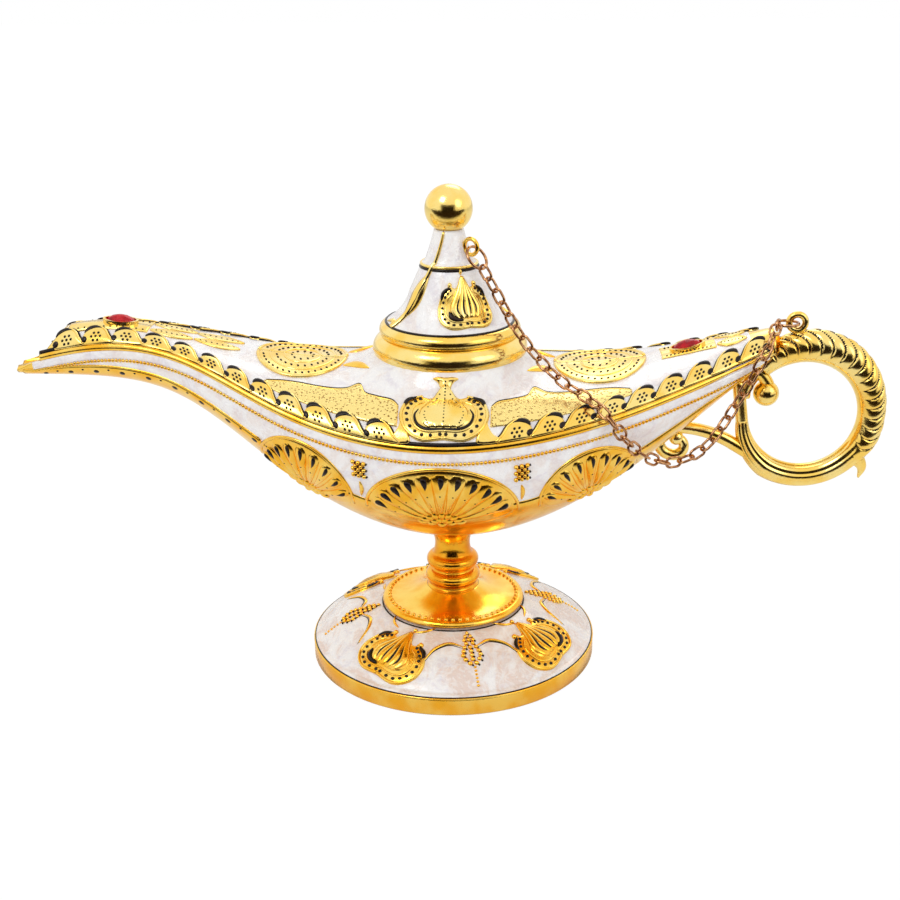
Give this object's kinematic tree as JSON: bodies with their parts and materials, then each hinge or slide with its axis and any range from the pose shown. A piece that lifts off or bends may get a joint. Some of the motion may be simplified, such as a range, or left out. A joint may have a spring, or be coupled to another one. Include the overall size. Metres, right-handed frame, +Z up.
{
  "type": "genie oil lamp",
  "caption": "Boat-shaped oil lamp on a round foot, with a pouring spout, a loop handle, a conical lift-off lid and a keeper chain from the lid to the handle.",
  "frame": {"origin": "on the floor under the middle of the foot, on the stem's axis", "axes": "+Z up along the stem, -X out through the spout, +X through the handle"},
  "size_m": [0.2086, 0.0714, 0.1183],
  "materials": {
    "pearl_enamel": "glossy",
    "gold_plate": "polished",
    "red_glass": "polished",
    "chain_metal": "polished",
    "bolt_steel": "plain"
  },
  "bodies": {
    "lamp_body": {"foot_dish": "pearl_enamel", "deck": "pearl_enamel", "bowl": "pearl_enamel", "skirt_collar": "gold_plate", "stem": "gold_plate", "mouth_collar": "gold_plate", "handle": "gold_plate", "handle_eye": "gold_plate", "spout_bezel": "gold_plate", "tail_bezel": "gold_plate", "spout_stone": "red_glass", "tail_stone": "red_glass", "stem_bolt": "bolt_steel", "stem_washer": "bolt_steel", "stem_nut": "bolt_steel", "handle_ring": "chain_metal"},
    "lid": {"lid_shell": "pearl_enamel", "lid_knob": "gold_plate", "lid_eye": "gold_plate"},
    "chain_1": {"chain_1": "chain_metal"},
    "chain_2": {"chain_2": "chain_metal"},
    "chain_3": {"chain_3": "chain_metal"},
    "chain_4": {"chain_4": "chain_metal"},
    "chain_5": {"chain_5": "chain_metal"},
    "chain_6": {"chain_6": "chain_metal"},
    "chain_7": {"chain_7": "chain_metal"},
    "chain_8": {"chain_8": "chain_metal"},
    "chain_9": {"chain_9": "chain_metal"},
    "lid_ring": {"lid_ring": "chain_metal"}
  },
  "joints": [
    {"name": "lid_lift", "type": "slide", "parent": "lamp_body", "child": "lid", "axis": [0, 0, 1], "range_m": [0, 0.01]},
    {"name": "chain_1_swing", "type": "hinge", "parent": "lamp_body", "child": "chain_1", "pos_m": [0.07653, -0.00178, 0.0859], "axis": [0.342, -0.9397, 0], "range_deg": [-14.73, 4]},
    {"name": "chain_2_swing", "type": "hinge", "parent": "chain_1", "child": "chain_2", "pos_m": [0.07229, -0.00963, 0.07951], "axis": [0.5286, -0.8488, 0], "range_deg": [-5.3, 4]},
    {"name": "chain_3_swing", "type": "hinge", "parent": "chain_2", "child": "chain_3", "pos_m": [0.06624, -0.01165, 0.06873], "axis": [0.3608, -0.9326, 0], "range_deg": [-4, 5.13]},
    {"name": "chain_4_swing", "type": "hinge", "parent": "chain_3", "child": "chain_4", "pos_m": [0.05879, -0.01603, 0.05975], "axis": [0.4593, -0.8883, 0], "range_deg": [-4, 5.45]},
    {"name": "chain_5_swing", "type": "hinge", "parent": "chain_4", "child": "chain_5", "pos_m": [0.04786, -0.02064, 0.05871], "axis": [0.4943, -0.8693, 0], "range_deg": [-4, 10.68]},
    {"name": "chain_6_swing", "type": "hinge", "parent": "chain_5", "child": "chain_6", "pos_m": [0.03853, -0.02671, 0.06844], "axis": [-0.1415, -0.9899, 0], "range_deg": [-13.84, 4]},
    {"name": "chain_7_swing", "type": "hinge", "parent": "chain_6", "child": "chain_7", "pos_m": [0.0303, -0.02105, 0.07486], "axis": [-0.5333, -0.8459, 0], "range_deg": [-4, 10.38]},
    {"name": "chain_8_swing", "type": "hinge", "parent": "chain_7", "child": "chain_8", "pos_m": [0.02123, -0.01489, 0.08081], "axis": [-0.5814, -0.8136, 0], "range_deg": [-4, 6.92]},
    {"name": "chain_9_swing", "type": "hinge", "parent": "chain_8", "child": "chain_9", "pos_m": [0.01412, -0.00987, 0.08976], "axis": [-0.5698, -0.8218, 0], "range_deg": [-4, 5.85]},
    {"name": "lid_ring_swing", "type": "hinge", "parent": "chain_9", "child": "lid_ring", "pos_m": [0.00808, -0.00565, 0.09985], "axis": [0.5734, 0.8193, 0], "range_deg": [-4.02, 4]}
  ],
  "couplings": [
    {"joint": "chain_1_swing", "follows": "lid_lift", "rad_per_m": -18.722},
    {"joint": "chain_2_swing", "follows": "lid_lift", "rad_per_m": -2.2675},
    {"joint": "chain_3_swing", "follows": "lid_lift", "rad_per_m": 1.9701},
    {"joint": "chain_4_swing", "follows": "lid_lift", "rad_per_m": 2.5383},
    {"joint": "chain_5_swing", "follows": "lid_lift", "rad_per_m": 11.667},
    {"joint": "chain_6_swing", "follows": "lid_lift", "rad_per_m": -17.182},
    {"joint": "chain_7_swing", "follows": "lid_lift", "rad_per_m": 11.137},
    {"joint": "chain_8_swing", "follows": "lid_lift", "rad_per_m": 5.104},
    {"joint": "chain_9_swing", "follows": "lid_lift", "rad_per_m": 3.2376},
    {"joint": "lid_ring_swing", "follows": "lid_lift", "rad_per_m": -0.0406}
  ]
}
